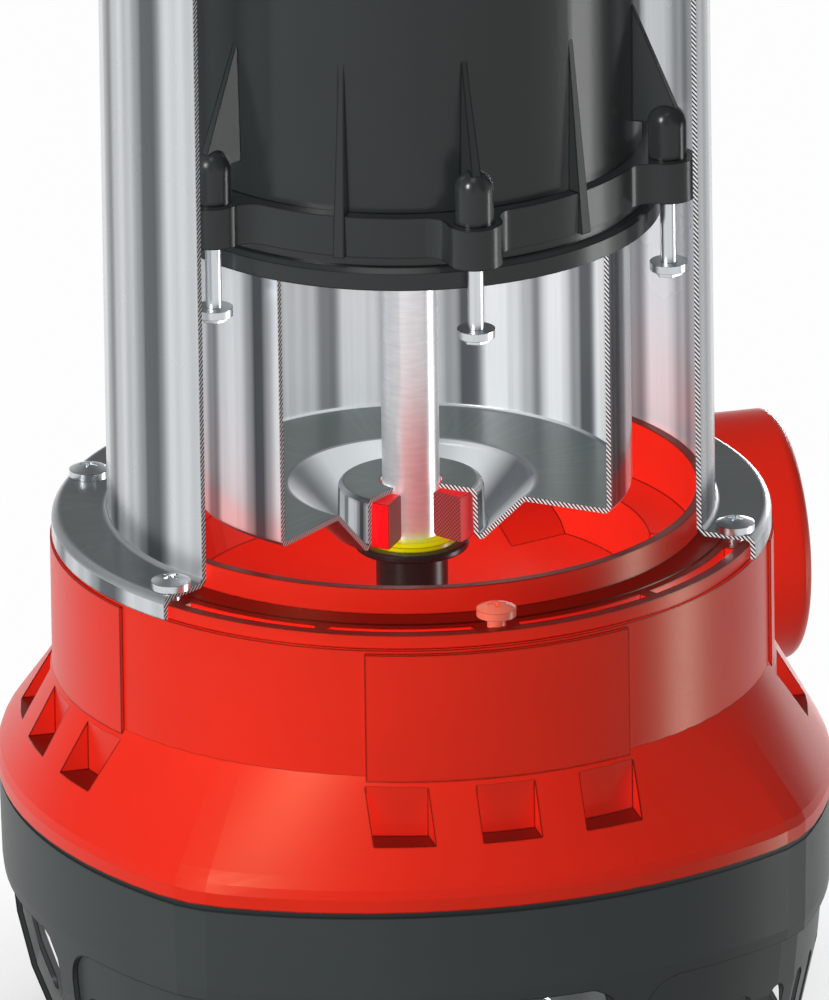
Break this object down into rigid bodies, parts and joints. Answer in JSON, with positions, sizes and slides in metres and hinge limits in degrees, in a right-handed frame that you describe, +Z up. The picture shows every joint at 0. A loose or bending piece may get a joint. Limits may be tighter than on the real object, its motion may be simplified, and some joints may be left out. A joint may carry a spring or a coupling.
{
  "type": "submersible drainage pump",
  "caption": "Sectioned submersible drainage pump: strainer base, volute housing with side outlet, cut-away steel jacket over motor, oil chamber and shaft seals, carrying handle on top.",
  "frame": {"origin": "on the pump axis, at the level of the floor the base stands on", "axes": "+Z up along the shaft; -Y to the front, the middle of the cut-away windows; +X the way the outlet points"},
  "size_m": [0.2216, 0.2154, 0.44],
  "materials": {
    "housing_red": "glass-filled moulded plastic, satin",
    "base_grey": "moulded plastic, satin",
    "gasket_rubber": "matt",
    "motor_black": "fine mould grain, satin",
    "cover_black": "fine mould grain, satin",
    "jacket_steel": "brushed along its height",
    "pot_steel": "drawn sheet, half bright",
    "plate_steel": "satin",
    "screw_steel": "bright",
    "screw_tinted": "satin",
    "shaft_steel": "ground",
    "bearing_steel": "ground and polished",
    "cage_brass": "pressed sheet",
    "seal_red": "satin",
    "face_yellow": "polished",
    "cup_black": "half gloss",
    "impeller_grey": "moulded plastic, satin",
    "stator_steel": "stacked laminations",
    "winding_copper": "varnished copper wire",
    "cast_aluminium": "die cast"
  },
  "bodies": {
    "housing": {"strainer_base": "base_grey", "base_plate": "plate_steel", "base_plate_screws": "screw_steel", "base_gasket": "gasket_rubber", "base_screws": "screw_steel", "suction_cover": "base_grey", "suction_cover_screws": "screw_steel", "pump_housing": "housing_red", "shaft_seal": "seal_red", "oil_chamber": "pot_steel", "motor_jacket": "jacket_steel", "jacket_seal": "gasket_rubber", "flange_screws": "screw_steel", "front_flange_screw": "screw_tinted", "motor_housing": "motor_black", "motor_screws": "screw_steel", "motor_seal": "gasket_rubber", "lower_bearing_outer": "bearing_steel", "stator_core": "stator_steel", "lower_winding": "winding_copper", "upper_winding": "winding_copper", "upper_bearing_outer": "bearing_steel", "end_shield": "cast_aluminium", "shield_screws": "screw_steel", "capacitor": "cast_aluminium", "top_cover": "cover_black", "cover_seal": "gasket_rubber", "cover_screws": "screw_steel", "handle": "cover_black", "handle_screws": "screw_steel", "gland_body": "cover_black", "gland_seal": "gasket_rubber", "gland_nut": "cover_black"},
    "rotor": {"shaft": "shaft_steel", "rotor_core": "stator_steel", "rotor_end_rings": "cast_aluminium", "seal_cup": "cup_black", "seal_face_ring": "face_yellow", "impeller": "impeller_grey", "impeller_washer": "screw_steel", "impeller_nut": "screw_steel", "lower_bearing_inner": "bearing_steel", "upper_bearing_inner": "bearing_steel"},
    "lower_balls": {"lower_bearing_balls": "bearing_steel", "lower_bearing_cage": "cage_brass"},
    "upper_balls": {"upper_bearing_balls": "bearing_steel", "upper_bearing_cage": "cage_brass"}
  },
  "joints": [
    {"name": "shaft_spin", "type": "hinge", "parent": "housing", "child": "rotor", "pos_m": [0, 0, 0.2], "axis": [0, 0, -1], "continuous": true},
    {"name": "lower_balls_spin", "type": "hinge", "parent": "housing", "child": "lower_balls", "pos_m": [0, 0, 0.2515], "axis": [0, 0, -1], "continuous": true},
    {"name": "upper_balls_spin", "type": "hinge", "parent": "housing", "child": "upper_balls", "pos_m": [0, 0, 0.35], "axis": [0, 0, -1], "continuous": true}
  ],
  "couplings": [
    {"joint": "lower_balls_spin", "follows": "shaft_spin", "ratio": 0.38},
    {"joint": "upper_balls_spin", "follows": "shaft_spin", "ratio": 0.3636}
  ]
}
